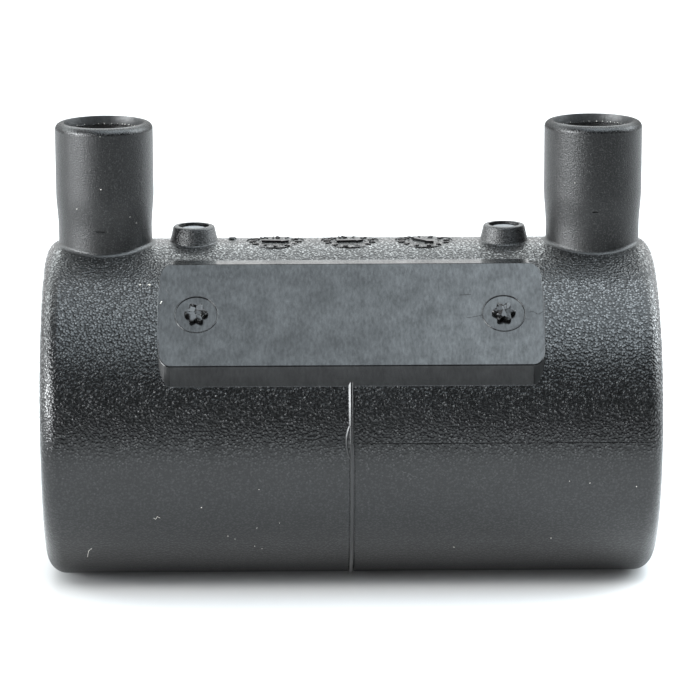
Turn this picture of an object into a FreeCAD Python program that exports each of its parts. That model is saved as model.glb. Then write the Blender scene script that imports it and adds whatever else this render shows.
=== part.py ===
import FreeCAD, Part
import math
import os
from FreeCAD import Placement, Rotation, Vector

# An electrofusion socket coupler for plastic pressure pipe, in millimetres.
# The origin is on the bore axis, half way along. X runs along the bore, Z points up through
# the terminals, and the plate faces the front, towards -Y.

# The pipe that slides in, and the sleeve round it
pipe_radius = 16.0
pipe_clearance = 0.3
wall_thickness = 6.2
body_length = 81.0
end_rounding = 2.5
rounding_steps = 3
bore_lead_in = 1.0

# The heating coil, one wire wound in two zones
wire_radius = 0.4
wire_clearance = 0.03
coil_pitch = 3.2
coil_turns = 4
zone_from_terminal = 11.8
zone_end_gap = 0.3

# The two terminals: a shroud round a contact pin of the usual 4 mm kind
terminal_from_end = 8.0
shroud_radius = 6.5
shroud_foot_radius = 6.22
shroud_bore_radius = 4.95
shroud_depth = 12.6
shroud_floor_rise = 3.5
shroud_rim_rounding = 0.9
shroud_mouth_radius = 5.36
shroud_mouth_depth = 1.0
neck_height = 3.1
neck_blend = 2.4
contact_radius = 2.0
contact_below_rim = 3.2
contact_collar_radius = 2.9
contact_collar_height = 1.0
contact_root_radius = 1.5
contact_tip_chamfer = 0.4
fit_clearance = 0.01

# The two fusion indicators: a boss round a loose pin
boss_height = 2.1
boss_top_radius = 2.78
boss_foot_radius = 3.2
boss_rim_chamfer = 0.3
indicator_hole_radius = 2.05
indicator_pin_radius = 1.55
indicator_below_rim = 0.3
indicator_web = 1.2

# The sloping plate on the front, with the star-shaped prints of two screws of its mould
plate_length = 50.1
plate_face_height = 15.8
plate_tilt = 45.0
plate_inset = 0.3
plate_corner_radius = 1.6
star_from_end = 4.95
star_radius = 1.55
star_inner_radius = 1.05
star_points = 6
star_height = 0.9

# The seam rib round the underside and the gate mark beside it
rib_width = 0.7
rib_height = 0.25
rib_overlap_angle = 1.0
seam_shift = 0.12
gate_height = 4.2
gate_reach = 0.65
gate_rise = 0.3

bore_radius = pipe_radius + pipe_clearance
outer_radius = bore_radius + wall_thickness
half_length = body_length / 2
terminal_centre = half_length - terminal_from_end
zone_centre = terminal_centre - zone_from_terminal
star_centre = plate_length / 2 - star_from_end
wire_track_radius = bore_radius + wire_radius
zone_radius = bore_radius + 2 * wire_radius + wire_clearance
coil_length = coil_turns * coil_pitch
zone_half_length = coil_length / 2 + wire_radius + zone_end_gap
shroud_floor = outer_radius + shroud_floor_rise
shroud_top = shroud_floor + shroud_depth
boss_top = outer_radius + boss_height
indicator_floor = zone_radius + indicator_web
plate_distance = outer_radius - plate_inset
sides = {"left": -1, "right": 1}
cut_margin = 1.0

x_axis = Vector(1, 0, 0)
y_axis = Vector(0, 1, 0)
z_axis = Vector(0, 0, 1)


def cylinder_x(radius, start, end):
    """A cylinder along the bore, with the line where its face closes on the underside."""
    solid = Part.makeCylinder(radius, end - start, Vector(start, 0, 0), x_axis)
    return solid.rotate(Vector(0, 0, 0), x_axis, 180)


def cylinder_z(radius, x, low, high):
    return Part.makeCylinder(radius, high - low, Vector(x, 0, low), z_axis)


def revolved(points, x):
    """A profile of straight sides, given as radius and height, turned about an upright line at x."""
    corners = [Vector(x + radius, 0, height) for radius, height in points]
    face = Part.Face(Part.makePolygon(corners + corners[:1]))
    return face.revolve(Vector(x, 0, 0), z_axis, 360)


def quarter_round(corner, before, after):
    """Points of a quarter round inside a corner, between the two vectors that lead away from it.

    It is drawn in a few straight steps, which keeps the facets of the large rims few.
    """
    centre = corner + before + after
    points = []
    for number in range(rounding_steps + 1):
        angle = math.pi / 2 * number / rounding_steps
        points.append(centre - after * math.cos(angle) - before * math.sin(angle))
    return points


def turned(points, axis):
    face = Part.Face(Part.makePolygon(points + points[:1]))
    return face.revolve(points[0], axis, 360)


def sleeve():
    """The plain barrel, with both ends rounded outside. Its face closes on the underside."""
    along = x_axis * end_rounding
    inwards = z_axis * end_rounding
    profile = [Vector(-half_length, 0, 0)]
    profile += quarter_round(Vector(-half_length, 0, -outer_radius), inwards, along)
    profile += quarter_round(Vector(half_length, 0, -outer_radius), along * -1, inwards)
    profile += [Vector(half_length, 0, 0)]
    return turned(profile, x_axis)


def shroud(side):
    """The outside of one terminal: a straight foot, a soft step out to the grip, and a round rim."""
    x = side * terminal_centre
    foot_low = bore_radius + wall_thickness / 2
    step_low = outer_radius + neck_height
    step_high = step_low + neck_blend
    step_third = neck_blend / 3
    foot = Vector(x + shroud_foot_radius, 0, foot_low)
    step_start = Vector(x + shroud_foot_radius, 0, step_low)
    step_end = Vector(x + shroud_radius, 0, step_high)
    step = Part.BezierCurve()
    step.setPoles([
        step_start,
        step_start + z_axis * step_third,
        step_end - z_axis * step_third,
        step_end,
    ])
    rim = Vector(x + shroud_radius, 0, shroud_top)
    upper = [step_end]
    upper += quarter_round(rim, z_axis * -shroud_rim_rounding, x_axis * -shroud_rim_rounding)
    upper += [Vector(x, 0, shroud_top), Vector(x, 0, foot_low), foot, step_start]
    profile = Part.Wire([step.toShape()] + Part.makePolygon(upper).Edges)
    return Part.Face(profile).revolve(Vector(x, 0, 0), z_axis, 360)


def indicator_boss(side):
    x = side * zone_centre
    low = bore_radius + wall_thickness / 2
    spread = (boss_foot_radius - boss_top_radius) / boss_height
    low_radius = boss_foot_radius + spread * (outer_radius - low)
    return turned([
        Vector(x, 0, low),
        Vector(x + low_radius, 0, low),
        Vector(x + boss_top_radius, 0, boss_top - boss_rim_chamfer),
        Vector(x + boss_top_radius - boss_rim_chamfer, 0, boss_top),
        Vector(x, 0, boss_top),
    ], z_axis)


def plate_corners():
    """The lower and upper edge of the sloping face, in the YZ plane."""
    slope = math.radians(plate_tilt)
    middle = Vector(0, -math.sin(slope), math.cos(slope)) * plate_distance
    along = Vector(0, math.cos(slope), math.sin(slope)) * (plate_face_height / 2)
    return middle - along, middle + along


def plate():
    """The plate's block, with upright walls, and the level ledge that joins it to the barrel."""
    lower, upper = plate_corners()
    root = lower.z - plate_face_height / 3
    corners = [Vector(0, lower.y, root), lower, upper, Vector(0, upper.y, root)]
    section = Part.Face(Part.makePolygon(corners + corners[:1]))
    section.translate(x_axis * (-plate_length / 2))
    block = section.extrude(x_axis * plate_length)
    block = block.makeFillet(plate_corner_radius, [edge for edge in block.Edges if is_upright(edge)])
    ledge_length = plate_length - 2 * plate_corner_radius
    ledge_back = -math.sqrt(outer_radius ** 2 - upper.z ** 2) + wall_thickness / 2
    ledge_root = upper.z - wall_thickness / 2
    ledge = Part.makeBox(
        ledge_length, ledge_back - upper.y, upper.z - ledge_root,
        Vector(-ledge_length / 2, upper.y, ledge_root))
    return block.fuse(ledge)


def plate_crown():
    """The barrel's crown in front of the sloping face, which is cut away to leave the face flat."""
    length = plate_face_height - 2 * plate_corner_radius
    crown = Part.makeBox(
        plate_length, length, plate_inset + cut_margin, Vector(-plate_length / 2, -length / 2, 0))
    crown.Placement = on_plate(0)
    return crown


def is_upright(edge):
    direction = edge.Vertexes[-1].Point - edge.Vertexes[0].Point
    return abs(direction.x) + abs(direction.y) < 1e-6


def on_plate(x):
    """The place of a feature in the middle of the plate's face, turned to stand on it."""
    slope = math.radians(plate_tilt)
    middle = Vector(x, -math.sin(slope) * plate_distance, math.cos(slope) * plate_distance)
    return Placement(middle, Rotation(x_axis, plate_tilt))


def star(side):
    """The six-pointed star that filled the socket of a screw in the mould."""
    below = plate_inset + wall_thickness / 4
    points = []
    for number in range(2 * star_points):
        angle = math.pi * number / star_points
        radius = star_inner_radius if number % 2 else star_radius
        points.append(Vector(radius * math.cos(angle), radius * math.sin(angle), -below))
    shape = Part.Face(Part.makePolygon(points + points[:1])).extrude(z_axis * (below + star_height))
    shape.Placement = on_plate(side * star_centre)
    return shape


def seam_rib():
    """A low rib round the underside, from the plate's lower wall to the seam at the back.

    The mould's halves are a little out of line, so the part above the seam is shifted.
    """
    inside = outer_radius - wall_thickness / 4
    lower = plate_corners()[0]
    start = math.degrees(math.acos(-lower.y / (outer_radius + rib_height))) + rib_overlap_angle
    parts = []
    for first, sweep, shift in ((180 - start, start, -seam_shift), (180, 180, seam_shift)):
        ring = Part.makeCylinder(outer_radius + rib_height, rib_width, Vector(0, 0, 0), x_axis, sweep)
        ring = ring.cut(Part.makeCylinder(inside, rib_width, Vector(0, 0, 0), x_axis, 360))
        ring.Placement = Placement(Vector(shift - rib_width / 2, 0, 0), Rotation(x_axis, first))
        parts.append(ring)
    return parts


def gate_mark():
    """The lens where the gate was cut off, against the left side of the rib at the seam."""
    lens_radius = (gate_height ** 2 / 4 + gate_reach ** 2) / (2 * gate_reach)
    centre_x = -rib_width / 2 - seam_shift + lens_radius - gate_reach
    depth = wall_thickness / 4
    front = Vector(centre_x, -outer_radius - rib_height, gate_rise)
    lens = Part.makeCylinder(lens_radius, depth + rib_height, front, y_axis)
    keep = Part.makeBox(
        gate_reach + rib_width / 2, body_length, gate_height,
        Vector(-gate_reach - rib_width / 2 - seam_shift, -body_length, gate_rise - gate_height / 2))
    skin = cylinder_x(outer_radius + rib_height, -half_length, half_length)
    return lens.common(keep).common(skin)


def bore_cuts():
    """Everything that is hollow along the pipe: bore, lead-ins, coil zones and the wire's straight slot."""
    bore = cylinder_x(bore_radius, -half_length - cut_margin, half_length + cut_margin)
    cuts = []
    for side in sides.values():
        lead = Part.makeCone(
            bore_radius + bore_lead_in, bore_radius, bore_lead_in,
            Vector(side * half_length, 0, 0), x_axis * -side)
        middle = side * zone_centre
        cuts += [lead, cylinder_x(zone_radius, middle - zone_half_length, middle + zone_half_length)]
    slot_half_length = terminal_centre + contact_root_radius
    slot_half_width = wire_radius + wire_clearance
    slot = Part.makeBox(
        2 * slot_half_length, 2 * slot_half_width, zone_radius,
        Vector(-slot_half_length, -slot_half_width, 0))
    return bore.multiFuse(cuts + [slot.common(cylinder_x(zone_radius, -half_length, half_length))])


def body():
    solid = sleeve()
    for side in sides.values():
        solid = solid.fuse(shroud(side))
        solid = solid.fuse(indicator_boss(side))
    solid = solid.fuse(plate()).cut(plate_crown())
    for side in sides.values():
        solid = solid.fuse(star(side))
    solid = solid.multiFuse(seam_rib() + [gate_mark()])
    solid = solid.cut(bore_cuts())
    for side in sides.values():
        x = side * terminal_centre
        solid = solid.cut(cylinder_z(shroud_bore_radius, x, shroud_floor, shroud_top + cut_margin))
        solid = solid.cut(Part.makeCone(
            shroud_bore_radius, shroud_mouth_radius, shroud_mouth_depth,
            Vector(x, 0, shroud_top - shroud_mouth_depth), z_axis))
        solid = solid.cut(cylinder_z(contact_root_radius, x, bore_radius, shroud_floor + cut_margin))
        x = side * zone_centre
        solid = solid.cut(cylinder_z(indicator_hole_radius, x, indicator_floor, boss_top + cut_margin))
    return solid.removeSplitter()


def contact_pin(side):
    """A turned pin: root down to the wire, collar on the shroud's floor, and a chamfered tip."""
    x = side * terminal_centre
    tip = shroud_top - contact_below_rim
    root_radius = contact_root_radius - fit_clearance
    wire_top = zone_radius
    return revolved([
        (0, wire_top),
        (root_radius, wire_top),
        (root_radius, shroud_floor),
        (contact_collar_radius, shroud_floor),
        (contact_collar_radius, shroud_floor + contact_collar_height),
        (contact_radius, shroud_floor + contact_collar_height),
        (contact_radius, tip - contact_tip_chamfer),
        (contact_radius - contact_tip_chamfer, tip),
        (0, tip),
    ], x)


def indicator_pin(side):
    x = side * zone_centre
    return cylinder_z(indicator_pin_radius, x, indicator_floor, boss_top - indicator_below_rim)


def winding(side):
    """One zone of the coil, from the top of the bore back to the top.

    The wire is drawn square here, with the area of the round one.
    """
    helix = Part.makeHelix(coil_pitch, coil_length, wire_track_radius)
    rise = math.atan2(coil_pitch, 2 * math.pi * wire_track_radius)
    half_side = wire_radius * math.sqrt(math.pi) / 2
    across = Vector(0, -math.sin(rise), math.cos(rise)) * half_side
    outward = x_axis * half_side
    start = x_axis * wire_track_radius
    corners = [
        start + outward + across,
        start - outward + across,
        start - outward - across,
        start + outward - across,
    ]
    section = Part.makePolygon(corners + corners[:1])
    solid = Part.Wire(helix.Edges).makePipeShell([section], True, True)
    solid.Placement = Placement(
        Vector(side * zone_centre - coil_length / 2, 0, 0),
        Rotation(x_axis, 180).multiply(Rotation(y_axis, 90)))
    return solid


def heating_coil():
    """Both windings and the straight runs of the same wire between them and out to the pins."""
    inner = zone_centre - coil_length / 2
    outer = zone_centre + coil_length / 2
    end = terminal_centre + contact_root_radius - wire_clearance
    runs = []
    for start, stop in ((-end, -outer), (-inner, inner), (outer, end)):
        run = cylinder_x(wire_radius, max(start - wire_radius, -end), min(stop + wire_radius, end))
        runs.append(run.translate(z_axis * wire_track_radius))
    return winding(-1).multiFuse([winding(1)] + runs)


def write(name, shape):
    solids = shape.Solids
    print(name, "valid", shape.isValid(), "solids", len(solids), "volume", round(shape.Volume, 2))
    shape.exportStep("parts/" + name + ".step")


os.makedirs("parts", exist_ok=True)
write("body", body())
write("heating_coil", heating_coil())
for name, side in sides.items():
    write("contact_pin_" + name, contact_pin(side))
    write("indicator_pin_" + name, indicator_pin(side))
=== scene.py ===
import math

import bmesh
import bpy
import numpy as np
from mathutils import Matrix, Vector
from mathutils import noise as bumps


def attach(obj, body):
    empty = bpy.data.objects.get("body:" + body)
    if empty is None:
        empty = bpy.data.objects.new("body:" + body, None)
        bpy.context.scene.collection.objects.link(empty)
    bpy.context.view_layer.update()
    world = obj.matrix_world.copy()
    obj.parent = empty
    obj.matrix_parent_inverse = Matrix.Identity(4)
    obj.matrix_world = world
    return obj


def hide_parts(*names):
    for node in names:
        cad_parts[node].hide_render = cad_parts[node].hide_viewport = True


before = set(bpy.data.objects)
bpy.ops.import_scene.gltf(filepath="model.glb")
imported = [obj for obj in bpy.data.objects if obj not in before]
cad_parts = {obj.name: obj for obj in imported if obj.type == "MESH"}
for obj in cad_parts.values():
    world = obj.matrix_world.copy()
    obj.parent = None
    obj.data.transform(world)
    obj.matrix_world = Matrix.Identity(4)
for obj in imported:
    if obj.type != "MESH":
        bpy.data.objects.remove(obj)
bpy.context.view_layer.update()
mm = 0.001
stage = bpy.context.scene.collection
print("frame:", ", ".join(sorted(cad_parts)))

# the photograph's view
photoView = {
    "position": (-8.034, -502.187, 118.52),
    "aim": (0.1, 0.0, 7.451),
    "roll": -0.122,
    "lens": 196.67,
    "sensor": 36.0,
}


def facing(place, aim):
    return Matrix.Translation(place) @ (aim - place).to_track_quat("-Z", "Y").to_matrix().to_4x4()


def placeCamera():
    lens = bpy.data.cameras.new("photoCamera")
    lens.lens = photoView["lens"]
    lens.sensor_width = photoView["sensor"]
    lens.clip_start, lens.clip_end = 0.02, 60.0
    holder = bpy.data.objects.new("photoCamera", lens)
    stage.objects.link(holder)
    roll = Matrix.Rotation(math.radians(photoView["roll"]), 4, "Z")
    holder.matrix_world = facing(Vector(photoView["position"]) * mm, Vector(photoView["aim"]) * mm) @ roll
    bpy.context.scene.camera = holder


placeCamera()


# shader and node maths: expressions on sockets add the nodes
class Wire:
    def __init__(self, tree, socket=None):
        self.tree = tree
        self.socket = socket

    def node(self, kind, settings=None, inputs=None, output=0):
        made = self.tree.nodes.new(kind)
        for key, value in (settings or {}).items():
            setattr(made, key, value)
        for key, value in (inputs or {}).items():
            if isinstance(value, (Wire, list)):
                for given in value if isinstance(value, list) else [value]:
                    self.tree.links.new(given.socket, made.inputs[key])
            else:
                made.inputs[key].default_value = value
        return Wire(self.tree, made.outputs[output]) if len(made.outputs) else None

    def out(self, key):
        return Wire(self.tree, self.socket.node.outputs[key])

    def maths(self, operation, *values):
        settings = {"operation": operation}
        return self.node("ShaderNodeMath", settings, dict(enumerate(values)))

    def __add__(self, other):
        return self.maths("ADD", self, other)

    def __radd__(self, other):
        return self.maths("ADD", other, self)

    def __sub__(self, other):
        return self.maths("SUBTRACT", self, other)

    def __rsub__(self, other):
        return self.maths("SUBTRACT", other, self)

    def __mul__(self, other):
        return self.maths("MULTIPLY", self, other)

    def __rmul__(self, other):
        return self.maths("MULTIPLY", other, self)

    def __pow__(self, other):
        return self.maths("POWER", self, other)

    def __abs__(self):
        return self.maths("ABSOLUTE", self)

    def step(self, low, high, start=0.0, end=1.0):
        settings = {"interpolation_type": "SMOOTHSTEP"}
        limits = {0: self, 1: low, 2: high, 3: start, 4: end}
        return self.node("ShaderNodeMapRange", settings, limits)

    def most(self, other):
        return self.maths("MAXIMUM", self, other)

    def spread(self):
        return self.node("ShaderNodeCombineXYZ", inputs={0: self, 1: self, 2: self})

    def blendColour(self, first, second):
        values = {0: self, 6: first, 7: second}
        return self.node("ShaderNodeMix", {"data_type": "RGBA"}, values, 2)


def newMaterial(name):
    material = bpy.data.materials.new(name)
    material.use_nodes = True
    tree = material.node_tree
    tree.nodes.clear()
    start = Wire(tree)
    spot = start.node("ShaderNodeTexCoord", output="Object")
    place = start.node("ShaderNodeVectorMath", {"operation": "SCALE"}, {0: spot, 3: 1 / mm})
    return material, start, place


# painted shade: a share of the surface is mixed with a copy of its material that has no shine, which darkens
# that part
def closeMaterial(start, values, paintedShade=None):
    shader = start.node("ShaderNodeBsdfPrincipled", inputs=values)
    if paintedShade:
        shadedValues = {**values, "Specular IOR Level": 0.0, "Coat Weight": 0.0}
        shadedCopy = start.node("ShaderNodeBsdfPrincipled", inputs=shadedValues)
        shader = start.node("ShaderNodeMixShader", inputs={0: paintedShade, 1: shader, 2: shadedCopy})
    start.node("ShaderNodeOutputMaterial", inputs={"Surface": shader})


def noise(place, scale, detail=2.0, roughness=0.5, stretch=None):
    if stretch:
        place = place.node("ShaderNodeMapping", inputs={"Vector": place, "Scale": stretch})
    values = {"Vector": place, "Scale": scale, "Detail": detail, "Roughness": roughness}
    return place.node("ShaderNodeTexNoise", inputs=values)


def grey(level):
    return (level, level, level, 1.0)


# mesh helpers, in millimetres until a piece is finished
def asObject(name, mesh):
    made = bpy.data.objects.new(name, mesh)
    stage.objects.link(made)
    return made


def meshPiece(name, points, faces):
    mesh = bpy.data.meshes.new(name)
    mesh.from_pydata(np.asarray(points, float).tolist(), [], faces)
    work = bmesh.new()
    work.from_mesh(mesh)
    bmesh.ops.remove_doubles(work, verts=work.verts, dist=1e-6)
    bmesh.ops.recalc_face_normals(work, faces=work.faces)
    work.to_mesh(mesh)
    work.free()
    return asObject(name, mesh)


def shell(name, rings, looped=False):
    rings = np.asarray(rings, float)
    count, around = rings.shape[:2]
    index = np.arange(count * around).reshape(count, around)
    faces = []
    for row in range(count if looped else count - 1):
        low, high = index[row], index[(row + 1) % count]
        for spot in range(around):
            after = (spot + 1) % around
            faces.append([int(low[spot]), int(low[after]), int(high[after]), int(high[spot])])
    if not looped:
        faces += [index[0].tolist(), index[-1].tolist()]
    return meshPiece(name, rings.reshape(-1, 3), faces)


def circleRing(radius, height, segments, centre=(0.0, 0.0), axis="Z"):
    turn = np.linspace(0, 2 * math.pi, segments, endpoint=False)
    across, up = radius * np.cos(turn), radius * np.sin(turn)
    level = np.full(segments, float(height))
    if axis == "X":
        return np.stack([level, centre[0] + across, centre[1] + up], -1)
    return np.stack([centre[0] + across, centre[1] + up, level], -1)


def turned(name, profile, segments, centre=(0.0, 0.0), axis="Z", looped=False):
    rings = [circleRing(radius, height, segments, centre, axis) for radius, height in profile]
    return shell(name, rings, looped)


def puck(name, radius, start, end, segments, centre=(0.0, 0.0)):
    return turned(name, [(0, start), (radius, start), (radius, end), (0, end)], segments, centre)


def arc(centre, radius, start, end, steps):
    angles = np.radians(np.linspace(start, end, steps + 1))
    return [(centre[0] + radius * math.cos(a), centre[1] + radius * math.sin(a)) for a in angles]


def applied(piece):
    graph = bpy.context.evaluated_depsgraph_get()
    mesh = bpy.data.meshes.new_from_object(piece.evaluated_get(graph))
    piece.modifiers.clear()
    piece.data = mesh
    return piece


def combine(base, tools, operation):
    for tool in tools:
        step = base.modifiers.new("step", "BOOLEAN")
        step.solver = "MANIFOLD"
        step.operation = operation
        step.object = tool
    applied(base)
    for tool in tools:
        bpy.data.objects.remove(tool)


boxFaces = [(0, 1, 3, 2), (4, 6, 7, 5), (0, 4, 5, 1), (2, 3, 7, 6), (0, 2, 6, 4), (1, 5, 7, 3)]


def block(name, low, high):
    corners = [(x, y, z) for x in (low[0], high[0]) for y in (low[1], high[1]) for z in (low[2], high[2])]
    return meshPiece(name, corners, boxFaces)


def prism(name, bottom, top):
    count = len(bottom)
    faces = [tuple(range(count)), tuple(range(count, 2 * count))]
    faces += [(i, (i + 1) % count, count + (i + 1) % count, count + i) for i in range(count)]
    return meshPiece(name, [*bottom, *top], faces)


def bump(x, y, z):
    return bumps.noise(Vector((x, y, z)))


def finishPiece(piece, material, sharp=38.0):
    mesh = piece.data
    mesh.transform(Matrix.Scale(mm, 4))
    mesh.materials.clear()
    mesh.materials.append(material)
    mesh.shade_smooth()
    mesh.set_sharp_from_angle(angle=math.radians(sharp))
    even = piece.modifiers.new("even", "WEIGHTED_NORMAL")
    even.keep_sharp = True
    even.weight = 50
    applied(piece)
    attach(piece, "root")
    return piece


# plain finishes: patches are slow changes of tone, grit is fine relief
plainLooks = {
    "tornPolyethylene": {
        "colour": (0.0035, 0.0035, 0.0035), "roughness": 0.14, "patch": 1.5, "depth": 0.02, "grit": 3.0},
    "smoothPolyethylene": {
        "colour": (0.0032, 0.0032, 0.0033), "roughness": 0.32, "patch": 1.0, "depth": 0.006, "grit": 3.0,
        "specular": 0.62},
    "tornFunnel": {
        "colour": (0.016, 0.0165, 0.017), "roughness": 0.42, "patch": 2.4, "depth": 0.05, "grit": 2.6,
        "paler": 1.8},
    "resistanceWire": {
        "colour": (0.62, 0.36, 0.2), "roughness": 0.3, "patch": 0.8, "depth": 0.01, "grit": 5.0,
        "paler": 1.2, "metallic": 1.0},
    "tinnedBrass": {
        "colour": (0.56, 0.5, 0.38), "roughness": 0.28, "patch": 0.7, "depth": 0.006, "grit": 6.0,
        "paler": 1.15, "metallic": 1.0},
    "indicatorPlastic": {
        "colour": (0.125, 0.13, 0.135), "roughness": 0.5, "patch": 1.2, "depth": 0.06, "grit": 3.5,
        "paler": 1.35},
    # dust; its pale colour also serves for specks painted as glints in the terminals' mouths
    "dustAndGlint": {
        "colour": (0.36, 0.35, 0.32), "roughness": 0.8, "patch": 2.0, "depth": 0.02, "grit": 6.0,
        "paler": 1.7},
}


def plainMaterial(name):
    look = {"metallic": 0.0, "paler": 1.6, "specular": 0.5, **plainLooks[name]}
    material, start, place = newMaterial(name)
    cloud = noise(place, look["patch"], 3.0, 0.6)
    grit = noise(place, look["grit"], 2.0, 0.6)
    darker = (*look["colour"], 1.0)
    lighter = (*(min(1.0, value * look["paler"]) for value in look["colour"]), 1.0)
    normal = start.node("ShaderNodeBump", inputs={
        "Height": grit * look["depth"], "Distance": mm, "Strength": 1.0})
    closeMaterial(start, {
        "Base Color": cloud.step(0.35, 0.7).blendColour(darker, lighter),
        "Roughness": grit * 0.2 + (look["roughness"] - 0.1), "Metallic": look["metallic"],
        "Normal": normal, "IOR": 1.5, "Specular IOR Level": look["specular"]})
    return material


torn = plainMaterial("tornPolyethylene")
smoothBlack = plainMaterial("smoothPolyethylene")
tornFunnel = plainMaterial("tornFunnel")
copper = plainMaterial("resistanceWire")
brass = plainMaterial("tinnedBrass")
chalky = plainMaterial("indicatorPlastic")
dustAndGlint = plainMaterial("dustAndGlint")


# sizes of the moulded housing, in millimetres
sleeve = {
    "radius": 22.5, "halfLength": 40.5, "rounding": 2.5, "bore": 16.3, "leadIn": 1.0,
    "zone": 17.13, "zoneMiddle": 20.7, "zoneHalf": 7.1, "slotHalf": 34.0, "slotWide": 0.43,
    "segments": 288, "satinAbove": 20.3,
}
terminal = {
    "centre": 32.5, "foot": 6.22, "grip": 6.5, "neckLow": 24.6, "neckHigh": 29.4, "top": 38.6,
    "rim": 0.9, "lip": 5.36, "lipDepth": 1.0, "bore": 4.95, "floor": 26.0, "root": 1.5,
    "fillet": 0.55, "inside": (5.6, 19.5), "segments": 144, "finishReach": 6.9,
}
indicator = {
    "centre": 20.7, "foot": 3.2, "top": 2.78, "height": 24.6, "hole": 2.05, "floor": 18.33,
    "chamfer": 0.3, "fillet": 0.25, "inside": (2.4, 20.5), "segments": 96, "finishReach": 3.45,
}
plate = {
    "half": 25.05, "lower": (-21.28, 10.11), "upper": (-10.11, 21.28), "corner": 1.6,
    "edge": 0.13, "root": 5.0, "ledgeHalf": 23.45, "ledgeBack": -5.0, "turn": 45,
}

# black polyethylene: grained sleeve, brushed plate, satin terminals and bosses. Each pair of numbers is
# a place in millimetres, the first where a change of finish starts and the second where it is complete
polyethylene = {
    "colour": (0.0028, 0.0029, 0.003, 1.0), "paleColour": (0.0042, 0.0044, 0.0046, 1.0),
    "waveDepth": 0.01, "roughness": 0.16, "pitRoughness": 0.12, "specular": 0.34, "coat": 0.28,
    "coatRoughness": 0.2, "dotShine": 1.5, "dotGround": 0.34, "grainScale": 3.15, "grainDepth": 0.11,
    "lowerGrain": 0.22, "topGrain": 0.35, "fineScale": 6.0, "fineDepth": 0.012, "streakDepth": 0.004,
    # pale dots of painted glints, and the strength of the painted shade on the underside
    "paintedGlint": 0.085, "wallCoat": 0.45, "cornerRoughness": 0.35, "undersidePaintedShade": 0.6,
    "calm": (-4.0, 3.5), "top": (18.5, 20.5), "underside": (-14.0, -19.5), "bore": (17.7, 17.5),
    "plateBack": (-6.9, -7.1), "plateFoot": (7.2, 7.3), "wallTop": (11.6, 11.1), "wallEnd": (23.2, 23.9),
}
satin = {
    "scale": 5.5, "depth": 0.052, "bossDepth": 0.8, "roughness": 0.38, "uneven": 0.45, "bossGloss": 0.08,
    # pale dots of painted glints, and painted shade on the right side and on the rims
    "rimGloss": 0.12, "specular": 0.53, "glintScale": 6.0, "paintedGlint": 0.026, "rightPaintedShade": 0.14,
    "rimPaintedShade": 0.12, "rimEndPaintedShade": 0.42, "boss": (3.6, 3.4), "right": (20, 30), "rim": (37.5, 37.9),
    "rimEdge": (37.55, 38.0), "rimEnd": (4.0, 5.8),
}


def grainFinish(place, x, y, z, colour):
    look = polyethylene
    radius, half = sleeve["radius"], plate["half"]
    lower, upper = plate["lower"], plate["upper"]
    reach = (y * y + z * z) ** 0.5
    along = abs(x).step(half + 0.15, half + 0.05)
    onPlate = reach.step(radius + 0.01, radius + 0.04) * along
    onPlate = onPlate * y.step(*look["plateBack"]) * z.step(*look["plateFoot"])
    face = (z - y - (lower[1] - lower[0])).step(-0.18, -0.12)
    slope = face * along * y.step(upper[0] + 0.21, upper[0] + 0.01)
    slope = slope * y.step(lower[0] - 0.22, lower[0] - 0.12)
    wall = onPlate * (1 - face) * z.step(*look["wallTop"])
    corner = wall * abs(x).step(*look["wallEnd"])
    grainy = 1 - onPlate.most(reach.step(*look["bore"])).most(slope)
    strength = z.step(*look["calm"], look["lowerGrain"], 1.0) * grainy
    strength = strength * (1 + look["topGrain"] * z.step(*look["top"]))
    pebbles = place.node("ShaderNodeTexVoronoi", {"feature": "SMOOTH_F1"}, {
        "Vector": place, "Scale": look["grainScale"], "Smoothness": 0.35, "Randomness": 1.0})
    coarse = 0.9 * (1 - pebbles) + 0.6 * noise(place, look["grainScale"], 1.0)
    fine = noise(place, look["fineScale"], 2.0, 0.5)
    streaks = noise(place, 0.9, 3.0, 0.6, (3.0, 0.35, 0.35))
    height = strength * coarse * look["grainDepth"] + grainy * fine * look["fineDepth"]
    height = height + slope * streaks * look["streakDepth"]
    # painted glints: pale dots in the base colour on the grain tops stand in for sparkling highlights
    glints = pebbles.step(0.3, 0.1) * noise(place, 2.2, 1.0).step(0.38, 0.6) * strength
    dots = pebbles.step(0.62, 0.12) * noise(place, 1.3, 1.0).step(0.25, 0.65, 0.6)
    brushed = 1.3 * noise(place, 1.0, 3.0, 0.7, (3.2, 1.1, 1.1)) + 0.8 * noise(place, 0.4, 2.0) - 1.05
    coat = (dots * look["dotShine"] - look["dotGround"]) * strength + look["coat"] + (1 - grainy) * brushed
    coat = (coat + look["wallCoat"] * wall) * (1 - corner)
    roughness = look["roughness"] + (1 - dots) * look["pitRoughness"] * strength
    values = {
        "Base Color": glints.blendColour(colour, grey(look["paintedGlint"])),
        "Roughness": roughness + look["cornerRoughness"] * corner,
        "Specular IOR Level": look["specular"],
        "Coat Weight": coat, "Coat Roughness": look["coatRoughness"], "Coat IOR": 1.5}
    # painted shade: towards the floor the grained surface is mixed with its shineless copy, so the underside
    # is darker
    paintedShade = look["undersidePaintedShade"] * z.step(*look["underside"]) * grainy
    return height, values, paintedShade


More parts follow.
